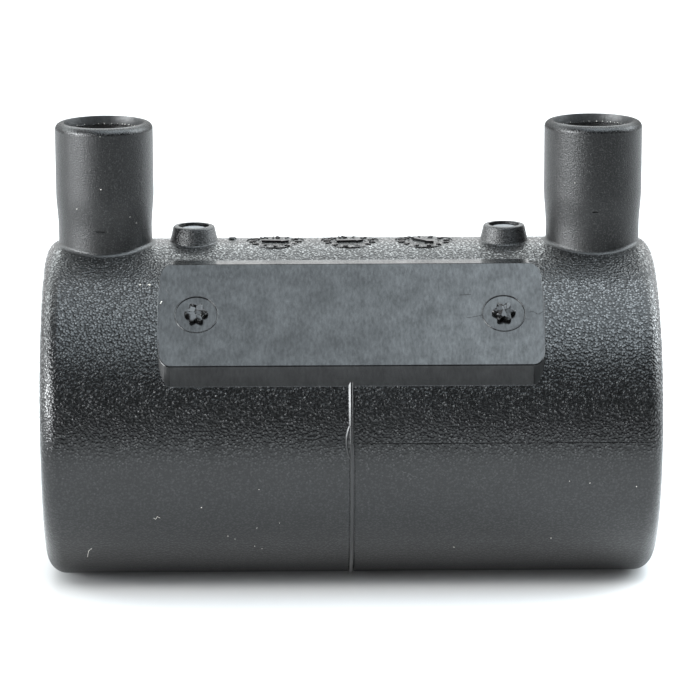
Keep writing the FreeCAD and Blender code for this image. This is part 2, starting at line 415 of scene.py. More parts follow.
def satinFinish(place, x, y, z, colour):
    look = satin
    patches = noise(place, look["scale"], 2.0, 0.6)
    fromBoss = ((abs(x) - indicator["centre"]) ** 2 + y * y) ** 0.5
    boss = fromBoss.step(*look["boss"])
    height = patches * look["depth"] * (1 + boss * look["bossDepth"])
    roughness = look["roughness"] - look["bossGloss"] * boss + look["uneven"] * (patches - 0.5)
    roughness = roughness - look["rimGloss"] * z.step(*look["rim"])
    # painted glints: pale dots in the base colour stand in for sparkling highlights
    glints = noise(place, look["glintScale"], 1.0).step(0.5, 0.72)
    # painted shade: the right side, most of all the right terminal, and the top of each rim, more at its ends
    # along the sleeve, are mixed with the shineless copy
    beside = abs(x - terminal["centre"] * x.maths("SIGN", x))
    rimPaintedShade = look["rimPaintedShade"] + look["rimEndPaintedShade"] * beside.step(*look["rimEnd"])
    values = {
        "Base Color": glints.blendColour(colour, grey(look["paintedGlint"])),
        "Roughness": roughness, "Specular IOR Level": look["specular"]}
    paintedShade = x.step(*look["right"], 0.0, look["rightPaintedShade"]) + z.step(*look["rimEdge"]) * rimPaintedShade
    return height, values, paintedShade


def mouldedMaterial(name, finish):
    material, start, place = newMaterial(name)
    parts = start.node("ShaderNodeSeparateXYZ", inputs={0: place})
    tone = noise(place, 0.12, 2.0).step(0.35, 0.7)
    colour = tone.blendColour(polyethylene["colour"], polyethylene["paleColour"])
    height, values, paintedShade = finish(place, parts, parts.out(1), parts.out(2), colour)
    height = height + noise(place, 0.35, 1.0) * polyethylene["waveDepth"]
    normal = start.node("ShaderNodeBump", inputs={"Height": height, "Distance": mm, "Strength": 1.0})
    closeMaterial(start, {"Normal": normal, "IOR": 1.5, **values}, paintedShade)
    return material


black = mouldedMaterial("blackPolyethylene", grainFinish)
satinBlack = mouldedMaterial("satinPolyethylene", satinFinish)


# the moulded housing
def sleeveSolid():
    big, half, soft = sleeve["radius"], sleeve["halfLength"], sleeve["rounding"]
    profile = [(0.0, -half)]
    profile += [(r, h) for h, r in arc((-half + soft, big - soft), soft, 180, 90, 14)]
    profile += [(r, h) for h, r in arc((half - soft, big - soft), soft, 90, 0, 14)]
    profile += [(0.0, half)]
    return turned("body", profile, sleeve["segments"], axis="X")


def footRings(shape, side, slope, steps=7):
    soft, segments = shape["fillet"], shape["segments"]
    turn = np.linspace(0, 2 * math.pi, segments, endpoint=False)
    out = np.stack([np.cos(turn), np.sin(turn)], -1)
    lean = math.atan(slope)
    wallHeight = np.full(segments, sleeve["radius"])
    tube = sleeve["radius"] - sleeve["rounding"]
    straight = sleeve["halfLength"] - sleeve["rounding"]
    for repeat in range(6):
        wall = shape["foot"] - slope * (wallHeight - sleeve["radius"])
        ball = out * (wall + soft * math.cos(lean))[:, None]
        ball[:, 0] += side * shape["centre"]
        beyond = np.maximum(np.abs(ball[:, 0]) - straight, 0.0)
        bend = sleeve["rounding"] + soft
        crown = tube + np.sqrt(bend ** 2 - beyond ** 2)
        ballHeight = np.sqrt(crown ** 2 - ball[:, 1] ** 2)
        wallHeight = ballHeight - soft * math.sin(lean)
    middle = np.column_stack([ball, ballHeight])
    toWall = -np.column_stack([out * math.cos(lean), np.full(segments, math.sin(lean))])
    outward = np.column_stack([np.zeros(segments), ball[:, 1], ballHeight]) / crown[:, None]
    outward *= ((crown - tube) / bend)[:, None]
    outward[:, 0] = np.sign(ball[:, 0]) * beyond / bend
    toBarrel = -outward
    angle = np.arccos(np.clip((toWall * toBarrel).sum(1), -1, 1))[:, None]
    rings = []
    for part in np.linspace(0.0, 1.0, steps + 1):
        share = part * (1 - math.radians(4) / angle)
        way = (np.sin((1 - share) * angle) * toWall + np.sin(share * angle) * toBarrel) / np.sin(angle)
        rings.append(middle + way * soft)
    rings.append(rings[-1] + toBarrel * 0.4 - np.column_stack([out * 0.2, np.zeros(segments)]))
    return rings


def levelRings(shape, side, profile):
    rings = []
    for radius, height in profile:
        rings.append(circleRing(radius, height, shape["segments"], (side * shape["centre"], 0.0)))
    return rings


def post(side):
    shape = terminal
    rim = shape["rim"]
    profile = [(0.0, shape["top"]), (3.0, shape["top"])]
    profile += arc((shape["grip"] - rim, shape["top"] - rim), rim, 90, 0, 10)
    low, high = shape["neckLow"], shape["neckHigh"]
    for part in np.linspace(1.0, 0.0, 9):
        ease = part * part * (3 - 2 * part)
        profile.append((shape["foot"] + (shape["grip"] - shape["foot"]) * ease, low + (high - low) * part))
    rings = levelRings(shape, side, profile) + footRings(shape, side, 0.0)
    rings += levelRings(shape, side, [shape["inside"], (0.0, shape["inside"][1])])
    return shell("post", rings)


def boss(side):
    shape = indicator
    slope = (shape["foot"] - shape["top"]) / (shape["height"] - sleeve["radius"])
    cut = shape["chamfer"]
    profile = [(0.0, shape["height"]), (1.0, shape["height"])]
    profile += arc((shape["top"] - cut, shape["height"] - cut), cut, 90, math.degrees(slope), 5)
    rings = levelRings(shape, side, profile) + footRings(shape, side, slope, 5)
    rings += levelRings(shape, side, [shape["inside"], (0.0, shape["inside"][1])])
    return shell("boss", rings)


def plateSolid():
    low, high = plate["lower"], plate["upper"]
    half, soft = plate["half"], plate["corner"]
    corners = []
    for x, y, start in ((half, high[0], 0), (-half, high[0], 90), (-half, low[0], 180), (half, low[0], 270)):
        centre = (x - math.copysign(soft, x), y + (soft if y == low[0] else -soft))
        corners += arc(centre, soft, start, start + 90, 12)
    rise = low[1] - low[0]
    bottom = [(x, y, plate["root"]) for x, y in corners]
    solid = prism("plate", bottom, [(x, y, y + rise) for x, y in corners])
    work = bmesh.new()
    work.from_mesh(solid.data)
    work.faces.ensure_lookup_table()
    edges = [e for e in work.edges if all(abs(v.co.z - v.co.y - rise) < 1e-4 for v in e.verts)]
    bmesh.ops.bevel(work, geom=edges, offset=plate["edge"], segments=3, profile=0.5, affect="EDGES")
    work.to_mesh(solid.data)
    work.free()
    wide = plate["ledgeHalf"]
    ledge = block("ledge", (-wide, high[0] - 0.03, high[1] - 3.0), (wide, plate["ledgeBack"], high[1]))
    return solid, ledge


def faceEdges():
    return Vector((0, *plate["lower"])), Vector((0, *plate["upper"]))


# takes away what bulges above the sloping face
def faceCut():
    low, high = faceEdges()
    middle, along = (low + high) / 2, (high - low).normalized()
    out = Vector((1, 0, 0)).cross(along)
    points = []
    for x in (-plate["half"], plate["half"]):
        for reach in (-6.0, 6.0):
            for rise in (0.0, 1.2):
                points.append(Vector((x, 0, 0)) + middle + along * reach + out * rise)
    return meshPiece("faceCut", [tuple(p) for p in points], boxFaces)


def boreCuts():
    half, bore, lead = sleeve["halfLength"], sleeve["bore"], sleeve["leadIn"]
    count = sleeve["segments"]
    profile = [(0, -half - 1), (bore + lead + 1, -half - 1), (bore, -half + lead)]
    middle, reach, deep = sleeve["zoneMiddle"], sleeve["zoneHalf"], sleeve["zone"]
    for x in (-middle, middle):
        profile += [(bore, x - reach), (deep, x - reach), (deep, x + reach), (bore, x + reach)]
    profile += [(bore, half - lead), (bore + lead + 1, half + 1), (0, half + 1)]
    slot = block(
        "slot", (-sleeve["slotHalf"], -sleeve["slotWide"], 10.0),
        (sleeve["slotHalf"], sleeve["slotWide"], deep))
    return [turned("bore", profile, count, axis="X"), slot]


def postCuts(side):
    shape = terminal
    floor, top, wide, lip, narrow = (shape[key] for key in ("floor", "top", "bore", "lip", "root"))
    mouth = [(0, floor), (wide, floor), (wide, top - shape["lipDepth"])]
    mouth += [(lip, top - 0.02), (lip, top + 1), (0, top + 1)]
    centre = (side * shape["centre"], 0.0)
    root = puck("root", narrow, 15.0, floor + 0.5, 48, centre)
    return [turned("mouth", mouth, shape["segments"], centre), root]


def bossCuts(side):
    shape = indicator
    centre = (side * shape["centre"], 0.0)
    return [puck("hole", shape["hole"], shape["floor"], shape["height"] + 1, 64, centre)]


dial = {
    "centres": (-9.83, 0.1, 10.0), "radius": 3.85, "level": 22.3, "grooveRadius": 2.0, "grooveWide": 0.12,
    "grooveDeep": 0.08, "segments": 128, "numberRadius": 3.0, "numberSize": 1.25, "numberRise": 0.17,
    "pointerLength": 3.6, "pointerWidth": 0.65, "pointerRise": 0.27, "pointerTurn": (-6, 5, -45),
}
details = {
    "dot": (-15.6, 1.2, 0.52, 22.76), "grooveHalf": 0.055, "grooveDeep": (0.012, 0.14),
    "grooveEnd": 0.2, "grooveGap": (-0.8, 0.5),
    "dimples": (((-32.8, -6.2, 24.9), (0.95, 0.16, 0.13)), ((32.42, -6.26, 27.3), (0.62, 0.16, 0.15))),
    "ribGaps": ((-0.37, -0.24), (0.22, 0.42)), "ribGapFloor": 22.0,
    "discs": ((-20.12, 0.06), (19.88, 0.03)), "discRadius": 2.7, "discDeep": 0.04,
}


def onFace(x, along):
    slope = math.radians(plate["turn"])
    low, high = faceEdges()
    centre = (low + high) / 2 + Vector((x, along * math.cos(slope), along * math.sin(slope)))
    return Matrix.Translation(centre) @ Matrix.Rotation(slope, 4, "X")


def dialSolids():
    discs, pockets = [], []
    level, radius, near, steps = (dial[key] for key in ("level", "radius", "grooveRadius", "segments"))
    far, low = near + dial["grooveWide"], level - dial["grooveDeep"]
    groove = [(near, low), (far, low), (far, 23.0), (near, 23.0)]
    for x in dial["centres"]:
        discs.append(puck("disc", radius, level, 20.0, steps, (x, 0.0)))
        pockets.append(puck("pocket", radius, level, 24.0, steps, (x, 0.0)))
        pockets.append(turned("groove", groove, steps, (x, 0.0), looped=True))
    x, y, radius, top = details["dot"]
    dot = [(0, top), (radius - 0.12, top), (radius, top - 0.1), (radius, 21.0), (0, 21.0)]
    discs.append(turned("dot", dot, 48, (x, y)))
    return discs, pockets


def detailCuts():
    cuts = []
    half, radius = details["grooveHalf"], sleeve["radius"]
    reach = sleeve["halfLength"] - details["grooveEnd"]
    (shallow, deeper), (left, right) = details["grooveDeep"], details["grooveGap"]
    for start, end, deep in ((-reach, left, shallow), (right, reach, deeper)):
        for low, high in ((-radius - 0.2, -radius + deep), (radius - deep, radius + 0.2)):
            cuts.append(block("partingGroove", (start, low, -half), (end, high, half)))
    for left, right in details["ribGaps"]:
        floor, above = details["ribGapFloor"], radius + 0.7
        section = [(left, floor), (right, floor), (right, above), (left, above)]
        angles = np.radians(np.linspace(0, -180, 121))
        rings = [[(x, -r * math.cos(a), r * math.sin(a)) for x, r in section] for a in angles]
        cuts.append(shell("ribGap", rings))
    for centre, radii in details["dimples"]:
        work = bmesh.new()
        bmesh.ops.create_icosphere(work, subdivisions=3, radius=1.0)
        mesh = bpy.data.meshes.new("dimple")
        work.to_mesh(mesh)
        work.free()
        mesh.transform(Matrix.Translation(centre) @ Matrix.Diagonal((*radii, 1.0)))
        cuts.append(asObject("dimple", mesh))
    for place in details["discs"]:
        disc = puck("sunkDisc", details["discRadius"], -details["discDeep"], 1.0, 96)
        disc.data.transform(onFace(*place))
        cuts.append(disc)
    return cuts


def giveFinishes(mesh):
    mesh.materials.append(satinBlack)
    mesh.materials.append(tornFunnel)
    funnel = (terminal["bore"] + 0.02, terminal["lip"] + 0.01)
    for face in mesh.polygons:
        centre = face.center / mm
        fromPost = math.hypot(abs(centre.x) - terminal["centre"], centre.y)
        fromBoss = math.hypot(abs(centre.x) - indicator["centre"], centre.y)
        near = fromPost < terminal["finishReach"] or fromBoss < indicator["finishReach"]
        if centre.z > sleeve["satinAbove"] and near:
            inFunnel = centre.z > terminal["top"] - terminal["lipDepth"] + 0.01
            face.material_index = 2 if inFunnel and funnel[0] < fromPost < funnel[1] else 1


def housing():
    solid = sleeveSolid()
    discs, pockets = dialSolids()
    additions = [*plateSolid(), *discs]
    cuts = boreCuts() + pockets
    for side in (-1, 1):
        additions += [post(side), boss(side)]
        cuts += postCuts(side) + bossCuts(side)
    combine(solid, additions, "UNION")
    combine(solid, [faceCut()], "DIFFERENCE")
    combine(solid, cuts + detailCuts(), "DIFFERENCE")
    finishPiece(solid, black)
    giveFinishes(solid.data)
    solid.name = "housing"
    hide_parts("body")
    print("housing:", len(solid.data.polygons), "faces")


housing()


# a small tree of nodes, turned into a plain mesh once its sizes are set
def nodePiece(name, sizes, layOut, material, base=None):
    tree = bpy.data.node_groups.new(name, "GeometryNodeTree")
    tree.interface.new_socket("Geometry", in_out="OUTPUT", socket_type="NodeSocketGeometry")
    tree.interface.new_socket("Base", in_out="INPUT", socket_type="NodeSocketGeometry")
    for key, value in sizes.items():
        kind = "NodeSocketInt" if isinstance(value, int) else "NodeSocketFloat"
        tree.interface.new_socket(key, in_out="INPUT", socket_type=kind)
    start = Wire(tree)
    given = start.node("NodeGroupInput")
    whole = start.node("GeometryNodeRealizeInstances", inputs={0: layOut(start, given)})
    coated = start.node("GeometryNodeSetMaterial", inputs={0: whole, "Material": material})
    start.node("NodeGroupOutput", inputs={0: coated})
    piece = asObject(name, base or bpy.data.meshes.new(name))
    made = piece.modifiers.new(name, "NODES")
    made.node_group = tree
    for item in tree.interface.items_tree:
        if item.in_out == "INPUT" and item.name in sizes:
            made[item.identifier] = sizes[item.name]
    return applied(piece)


def pointMesh(name, points, lines=()):
    mesh = bpy.data.meshes.new(name)
    mesh.from_pydata([tuple(p) for p in points], lines, [])
    return mesh


def joined(name, pieces):
    work = bmesh.new()
    for piece in pieces:
        work.from_mesh(piece.data)
        bpy.data.objects.remove(piece)
    mesh = bpy.data.meshes.new(name)
    work.to_mesh(mesh)
    work.free()
    return asObject(name, mesh)


def swept(start, path, section):
    return start.node("GeometryNodeCurveToMesh", inputs={0: path, 1: section, "Fill Caps": True})


def roundSwept(start, path, steps, radius):
    ring = start.node("GeometryNodeCurvePrimitiveCircle", inputs={"Resolution": steps, "Radius": radius})
    return swept(start, path, ring)


# heating wire: two windings in the wall of the bore and the runs that join them to the pins
coil = {
    "wireRadius": 0.4, "trackRadius": 16.7, "pitch": 3.2, "turns": 4, "stepsPerTurn": 64,
    "middle": 20.7, "outerEnd": 33.97, "profileSteps": 12,
}


def wireNodes(start, given):
    track = given.out("trackRadius")
    length = given.out("pitch") * given.out("turns")
    tilt = tuple(Matrix(((0, 0, 1), (0, -1, 0), (1, 0, 0))).to_euler())
    lines = []
    for side in (-1, 1):
        helix = start.node("GeometryNodeCurveSpiral", inputs={
            "Resolution": given.out("stepsPerTurn"), "Rotations": given.out("turns"),
            "Start Radius": track, "End Radius": track, "Height": length})
        shift = given.out("middle") * side - length * 0.5
        place = start.node("ShaderNodeCombineXYZ", inputs={0: shift})
        lines.append(start.node("GeometryNodeTransform", inputs={
            0: helix, "Translation": place, "Rotation": tilt}))
    near = given.out("middle") - length * 0.5
    far = given.out("middle") + length * 0.5
    end = given.out("outerEnd")
    for first, last in ((0 - end, 0 - far), (0 - near, near), (far, end)):
        ends = {}
        for key, x in (("Start", first), ("End", last)):
            ends[key] = start.node("ShaderNodeCombineXYZ", inputs={0: x, 2: track})
        lines.append(start.node("GeometryNodeCurvePrimitiveLine", inputs=ends))
    paths = start.node("GeometryNodeJoinGeometry", inputs={0: lines})
    return roundSwept(start, paths, given.out("profileSteps"), given.out("wireRadius"))


wire = nodePiece("heatingWire", coil, wireNodes, copper)
finishPiece(wire, copper, 50)
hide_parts("heating_coil")
print("heating wire:", len(wire.data.polygons), "faces")


# turned pins: contacts in the terminals, indicators in the bosses
contact = {
    "root": 1.49, "rootFoot": 17.13, "floor": 26.0, "collar": 2.9, "collarTop": 27.0,
    "radius": 2.0, "tip": 35.4, "chamfer": 0.4, "segments": 72,
}
popUp = {"radius": 1.55, "foot": 18.33, "top": 24.3, "edge": 0.12, "segments": 72, "rough": 0.05}


def contactPin(side, name):
    size = contact
    root, collar, radius, cut = (size[key] for key in ("root", "collar", "radius", "chamfer"))
    foot, floor, step, tip = (size[key] for key in ("rootFoot", "floor", "collarTop", "tip"))
    profile = [(0, foot), (root - 0.1, foot), (root, foot + 0.1)]
    profile += [(root, floor), (collar - 0.12, floor), (collar, floor + 0.12)]
    profile += arc((collar - 0.2, step - 0.2), 0.2, 0, 90, 4)
    profile += [(radius + 0.08, step), (radius, step + 0.08)]
    profile += [(radius, tip - cut), (radius - cut, tip), (0.4, tip), (0, tip - 0.15)]
    pin = turned("contactPin", profile, size["segments"], (side * terminal["centre"], 0.0))
    finishPiece(pin, brass)
    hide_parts(name)
    pin.name = "contactPin" + ("Left" if side < 0 else "Right")


def indicatorPin(side, name):
    size = popUp
    profile = [(0, size["foot"]), (size["radius"], size["foot"])]
    profile += arc((size["radius"] - size["edge"], size["top"] - size["edge"]), size["edge"], 0, 90, 4)
    profile += [(r, size["top"]) for r in np.linspace(size["radius"] - size["edge"], 0, 16)[1:]]
    pin = turned("indicatorPin", profile, size["segments"], (side * indicator["centre"], 0.0))
    for corner in pin.data.vertices:
        spot = corner.co
        if spot.z > size["top"] - 0.02:
            spot.z -= size["rough"] * (1 + bumps.noise(spot * 2.4))
    finishPiece(pin, chalky)
    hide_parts(name)
    pin.name = "indicatorPin" + ("Left" if side < 0 else "Right")


for side, name in ((-1, "left"), (1, "right")):
    contactPin(side, "contact_pin_" + name)
    indicatorPin(side, "indicator_pin_" + name)
print("pins: four, turned")


# seam rib round the underside, in two halves that are a little out of line
rib = {"middle": 22.3, "steps": 150}
ribHalves = {
    "upper": {"first": 180 - 27.2, "sweep": 27.2, "facing": -1, "section": [
        (-0.42, 21.9), (-0.42, 22.55), (-0.22, 22.69), (-0.17, 22.72), (-0.12, 22.7),
        (0.05, 22.67), (0.1, 22.72), (0.14, 22.71), (0.23, 22.5), (0.23, 21.9)]},
    "lower": {"first": 180.0, "sweep": 180.0, "facing": 1, "section": [
        (-0.25, 21.9), (-0.25, 22.66), (-0.22, 22.72), (-0.17, 22.745), (0.14, 22.745), (0.2, 22.72),
        (0.24, 22.62), (0.24, 21.9)]},
}


def ribNodes(start, given):
    turn = math.pi / 180
    bend = start.node("GeometryNodeCurveArc", inputs={
        "Resolution": given.out("steps"), "Radius": given.out("middle"),
        "Start Angle": given.out("first") * turn, "Sweep Angle": given.out("sweep") * turn})
    tilt = tuple(Matrix(((0, 0, 1), (1, 0, 0), (0, 1, 0))).to_euler())
    path = start.node("GeometryNodeTransform", inputs={0: bend, "Rotation": tilt})
    section = start.node("GeometryNodeMeshToCurve", inputs={0: given.out("Base")})
    return swept(start, path, section)


def ribHalf(name, half):
    section = half["section"][::-1]
    points = [(x * half["facing"], (r - rib["middle"]) * half["facing"], 0) for x, r in section]
    lines = [(i, (i + 1) % len(points)) for i in range(len(points))]
    sizes = {"middle": rib["middle"], "steps": rib["steps"], "first": half["first"], "sweep": half["sweep"]}
    return nodePiece(name, sizes, ribNodes, smoothBlack, pointMesh(name, points, lines))


gate = {
    "middle": 0.2, "half": 2.2, "left": -0.47, "reach": 0.43, "right": 0.1, "skew": 0.12,
    "root": 21.9, "floor": 22.6, "lip": 22.735, "steps": 41,
}


def gateMark():
    right, root, floor, lip = (gate[key] for key in ("right", "root", "floor", "lip"))
    rings = []
    for part in np.linspace(-0.995, 0.995, gate["steps"]):
        z = gate["middle"] + gate["half"] * part
        left = gate["left"] - gate["reach"] * (1 - part * part) * (1 + gate["skew"] * part)
        rough = 0.05 * bump(z * 2.2, 0.4, 1.7)
        across = [(right, root), (right, floor)]
        for share in np.linspace(0.15, 1.0, 7):
            x = right + (left + 0.3 - right) * share
            across.append((x, floor + rough + 0.04 * bump(x * 4, z * 3, 0.0)))
        across += [(left + 0.26, lip - 0.05), (left + 0.22, lip), (left + 0.19, lip)]
        across += [(left + 0.02, lip - 0.13), (left, 22.5), (left, root)]
        rings.append([(x, -math.sqrt(r * r - z * z), z) for x, r in across])
    return shell("gateMark", rings)


for name, half in ribHalves.items():
    piece = ribHalf(name + "Rib", half)
    finishPiece(piece, smoothBlack, 50)
finishPiece(gateMark(), smoothBlack, 50)
print("seam rib and gate mark")


# crumpled stars and their rims on the sloping face
star = {
    "places": details["discs"], "radius": 1.32, "lobe": 0.25, "points": 6, "height": 0.86,
    "rimRadius": 2.78, "rimWide": 0.11, "rimHigh": 0.11, "steps": 120, "facets": 9, "spread": 2.6,
}


def crumpledStar(place, seed):
    facets = []
    for number in range(star["facets"]):
        spot = Vector((bump(seed, number * 3.7, 0.3), bump(seed, number * 2.9, 5.1), 0)) * star["spread"]
        lean = Vector((bump(seed, number * 1.3, 9.2), bump(seed, number * 4.1, 2.6), 0))
        facets.append((spot, lean, 0.25 * bump(seed, number * 5.3, 7.7)))
    facets.append((Vector((0.5, 0.55, 0)), Vector((-0.05, -0.12, 0)), 0.12))
    rings = []
    turn = np.linspace(0, 2 * math.pi, star["steps"], endpoint=False)
    edge = star["radius"] + star["lobe"] * np.cos(star["points"] * turn)
    levels = [(1.0, -0.5), (1.0, 0.0), (0.985, 0.3), (0.97, 0.5)]
    levels += [(share, None) for share in (0.9, 0.8, 0.7, 0.6, 0.5, 0.4, 0.3, 0.2, 0.1, 0.001)]
    for share, height in levels:
        ring = []
        for angle, wide in zip(turn, edge):
            spot = Vector((wide * share * math.cos(angle), wide * share * math.sin(angle), 0))
            if height is None:
                near = min(facets, key=lambda facet: (facet[0] - spot).length)
                rise = star["height"] - 0.2 + near[2] + near[1].dot(spot - near[0]) * 0.8
                spot.z = min(star["height"], max(0.2, rise - 0.25 * max(0.0, share - 0.75)))
            else:
                spot.z = height
            ring.append(spot)
        rings.append(ring)
    made = shell("star", rings)
    made.data.transform(onFace(*place))
    return made


def starRim(place):
    middle, wide, high = star["rimRadius"], star["rimWide"], star["rimHigh"]
    profile = [(middle - wide, -0.12), (middle - wide, -0.02), (middle - wide * 0.55, high * 0.7)]
    profile += [(middle - wide * 0.1, high), (middle + wide * 0.5, high * 0.75)]
    profile += [(middle + wide, 0.0), (middle + wide, -0.12)]
    made = turned("rim", profile, star["steps"], looped=True)
    made.data.transform(onFace(*place))
    return made


for name, place, seed in zip(("starLeft", "starRight"), star["places"], (3.3, 8.1)):
    finishPiece(crumpledStar(place, seed), torn, 20).name = name
finishPiece(joined("starRims", [starRim(place) for place in star["places"]]), black, 60)
print("stars: two, crumpled")


# plain numbers and a pointer on each of the three dials
def dialNumber(x, hour, start):
    letters = bpy.data.curves.new("number", "FONT")
    letters.body = str(hour)
    letters.size, letters.extrude = dial["numberSize"], dial["numberRise"] / 2
    letters.align_x, letters.align_y = "CENTER", "CENTER"
    # a widened 4 would overlap itself
    letters.resolution_u, letters.offset = 3, 0.0 if hour == 4 else 0.02
    holder = asObject("number", letters)
    graph = bpy.context.evaluated_depsgraph_get()
    mesh = bpy.data.meshes.new_from_object(holder.evaluated_get(graph))
    bpy.data.objects.remove(holder)
    angle, reach = math.radians(start - hour * 30), dial["numberRadius"]
    level = dial["level"] + dial["numberRise"] / 2 - 0.02
    spot = Vector((x + reach * math.cos(angle), reach * math.sin(angle), level))
    mesh.transform(Matrix.Translation(spot) @ Matrix.Rotation(angle - math.pi / 2, 4, "Z"))
    return asObject("number", mesh)


def dialPointer(x, lean):
    long, wide = dial["pointerLength"] / 2, dial["pointerWidth"] / 2
    neck, barb = long * 0.45, wide * 2.1
    outline = [(-long, -wide), (neck, -wide), (neck, -barb), (long, 0)]
    outline += [(neck, barb), (neck, wide), (-long, wide)]
    low, high = ([(across, up, level) for across, up in outline] for level in (
        dial["level"] - 0.1, dial["level"] + dial["pointerRise"]))
    pointer = prism("pointer", low, high)
    pointer.data.transform(Matrix.Translation((x, 0, 0)) @ Matrix.Rotation(math.radians(lean), 4, "Z"))
    return pointer


def dialMarks():
    marks = []
    for number, (x, lean) in enumerate(zip(dial["centres"], dial["pointerTurn"])):
        marks += [dialNumber(x, hour, 90 + 20 * number) for hour in range(1, 13)]
        marks.append(dialPointer(x, lean))
    return joined("dialMarks", marks)


finishPiece(dialMarks(), torn, 30)
print("dials: three")


# loose flash, dust fibres and a nick, as fine threads lying on the surface
threads = {"threadRadius": 0.035, "threadSteps": 8}
fibreLevel = sleeve["radius"] + 0.01
threadLines = {
    "flash": [
        [(15.06, -0.65), (16.11, -0.47), (17.02, -0.24)], [(22.56, -0.82), (23.12, -0.94)],
        [(23.09, 0.18), (23.68, 0.29), (24.0, 0.02), (24.32, -0.14), (24.65, -0.01), (25.0, 0.3)],
        [(14.12, 2.89), (15.04, 2.96), (15.69, 2.99)], [(23.18, 7.5), (23.14, 6.6)],
        [(-24.24, 4.15), (-23.38, 2.82), (-23.13, 1.88), (-23.1, 1.2)],
    ],
    "fibres": [
        [(-34.87, -14.62, -17.1), (-34.74, -15.3, -16.5),
         (-34.62, -15.9, -15.92), (-34.17, -16.4, -15.4)],
        [(-25.88, -19.96, -10.38), (-25.59, -19.84, -10.62),
         (-25.37, -20.06, -10.19), (-25.04, -19.93, -10.43)],
    ],
}


def threadNodes(start, given):
    paths = start.node("GeometryNodeMeshToCurve", inputs={0: given.out("Base")})
    return roundSwept(start, paths, given.out("threadSteps"), given.out("threadRadius"))


def threadPiece(name, paths, material, sizes):
    points, lines = [], []
    for path in paths:
        lines += [(len(points) + step, len(points) + step + 1) for step in range(len(path) - 1)]
        points += path
    made = nodePiece(name, sizes, threadNodes, material, pointMesh(name, points, lines))
    finishPiece(made, material, 60)


facePaths = [[onFace(x, along).translation for x, along in path] for path in threadLines["flash"]]
threadPiece("flashThreads", facePaths, black, threads)
onBarrel = []
for path in threadLines["fibres"]:
    onBarrel.append([Vector((x, *(Vector((y, z)).normalized() * fibreLevel))) for x, y, z in path])
threadPiece("dustFibres", onBarrel, dustAndGlint, {**threads, "threadRadius": 0.024})
nick = [onFace(x, along) @ Vector((0, 0, 0.03)) for x, along in ((-24.84, 1.7), (-24.62, 2.15))]
threadPiece("nick", [nick], dustAndGlint, {**threads, "threadRadius": 0.075})
print("threads: flash, fibres and a nick")


# specks of dust, pale specks painted as glints in each terminal's mouth, burrs inside each mouth and the scar
# of the gate
speckSizes = {
    "brightSpecks": {"smallest": 0.1, "largest": 0.15, "seed": 5},
    "mouthGlintSpecks": {"smallest": 0.035, "largest": 0.085, "seed": 7},
    "dustSpecks": {"smallest": 0.035, "largest": 0.085, "seed": 7},
    "mouthBurrs": {"smallest": 0.06, "largest": 0.2, "seed": 3},
    "gateScar": {"smallest": 0.05, "largest": 0.12, "seed": 11},
}
brightPlaces = [(-27.47, -12.05, 19.0), (-26.33, -12.05, 19.0), (-26.2, -12.1, 18.97)]
speckPlaces = [
    (-32.7, -6.5, 37.66), (-28.98, -5.34, 26.77), (-28.17, -4.57, 25.82), (-35.94, -5.4, 27.89),
    (-32.69, -6.5, 30.68), (29.71, -5.87, 31.12), (-19.6, -20.69, -8.84), (-16.23, -18.06, -13.42),
    (-15.32, -17.66, -13.94), (-12.42, -18.96, -12.12), (-9.47, -19.44, -11.33), (-12.76, -16.58, -15.21),
    (-11.8, -16.14, -15.68), (-12.09, -21.62, -6.23), (28.2, -21.87, -5.29), (30.87, -21.79, -5.59),
    (36.93, -21.65, -6.14), (13.48, -16.19, -15.63), (26.17, -17.52, -14.12),
]
mouth = {"specksAt": (28, 37, 44, 50, 58, 63, 71, 80, 92, 101, 124, 139), "speckRadius": 4.98, "burrs": 96}
scar = {"points": 26, "wide": 0.5, "tall": 1.9, "middle": (0.03, -0.2), "level": 22.6}


def speckNodes(start, given):
    ball = start.node("GeometryNodeMeshIcoSphere", inputs={"Radius": 1.0, "Subdivisions": 2})
    size = start.node("FunctionNodeRandomValue", {"data_type": "FLOAT_VECTOR"}, {
        0: given.out("smallest").spread(), 1: given.out("largest").spread(), "Seed": given.out("seed")})
    return start.node("GeometryNodeInstanceOnPoints", inputs={
        "Points": given.out("Base"), "Instance": ball, "Scale": size})


def speckPiece(name, places, material):
    made = nodePiece(name, speckSizes[name], speckNodes, material, pointMesh(name, places))
    finishPiece(made, material, 60)


def inMouth(side, radius, angle, height):
    return side * terminal["centre"] + radius * math.cos(angle), radius * math.sin(angle), height


mouthPlaces, burrPlaces, scarPlaces = [], [], []
for side in (-1, 1):
    # pale specks on the far wall of each mouth are painted glints
    for angle in mouth["specksAt"]:
        height = terminal["top"] - 0.98 + 0.2 * bump(side, angle, 2)
        mouthPlaces.append(inMouth(side, mouth["speckRadius"], math.radians(angle), height))
    for step in range(mouth["burrs"]):
        radius = 5.0 + 0.06 * bump(side * 3, step * 0.9, 0)
        height = terminal["top"] - terminal["lipDepth"] - 0.12 + 0.12 * bump(side, step * 0.7, 4)
        burrPlaces.append(inMouth(side, radius, 2 * math.pi * step / mouth["burrs"], height))
for step in range(scar["points"]):
    x = scar["middle"][0] + scar["wide"] * bump(step * 1.7, 2.1, 0)
    z = scar["middle"][1] + scar["tall"] * bump(0.4, step * 1.3, 5)
    scarPlaces.append((x, -math.sqrt(scar["level"] ** 2 - z * z), z))
speckPiece("brightSpecks", brightPlaces, dustAndGlint)
speckPiece("mouthGlintSpecks", mouthPlaces, dustAndGlint)
speckPiece("dustSpecks", speckPlaces, dustAndGlint)
speckPiece("mouthBurrs", burrPlaces, torn)
speckPiece("gateScar", scarPlaces, torn)
print("specks and burrs")


